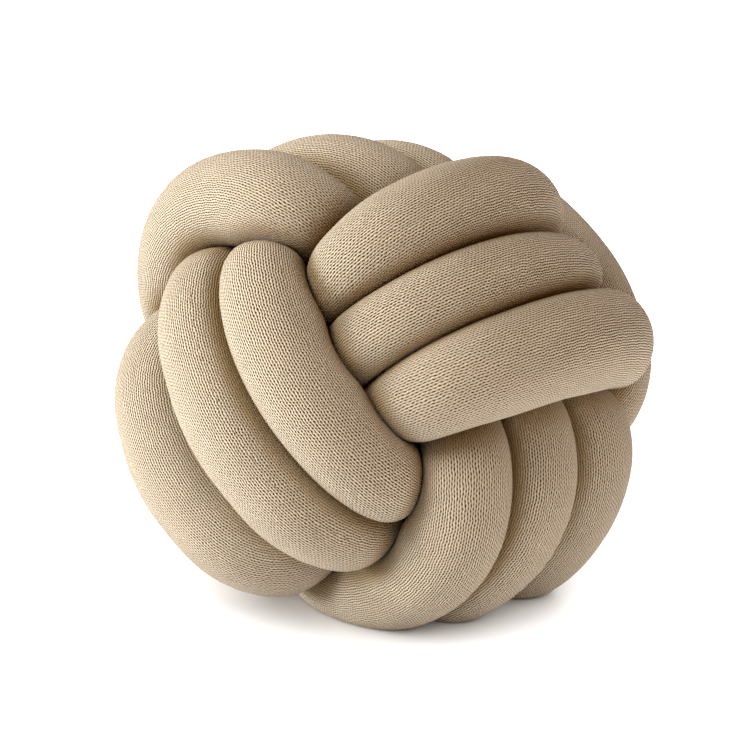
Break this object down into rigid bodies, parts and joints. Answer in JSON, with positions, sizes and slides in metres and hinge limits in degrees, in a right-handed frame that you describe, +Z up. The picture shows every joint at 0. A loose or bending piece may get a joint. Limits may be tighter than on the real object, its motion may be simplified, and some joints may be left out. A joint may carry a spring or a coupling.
{
  "type": "knot cushion",
  "caption": "Round knot cushion: one stuffed, knitted tube wound and tucked into a ball, for a sofa, a bed or the floor.",
  "frame": {"origin": "on the floor, under the middle of the ball's outline", "axes": "+Z up from the floor it rests on; -Y is the side the picture shows; +X is to its right"},
  "size_m": [0.2942, 0.2869, 0.2503],
  "materials": {
    "beige_knit": "matte fine jersey knit, beige"
  },
  "bodies": {
    "root": {"knotted_tube": "beige_knit"}
  },
  "joints": []
}
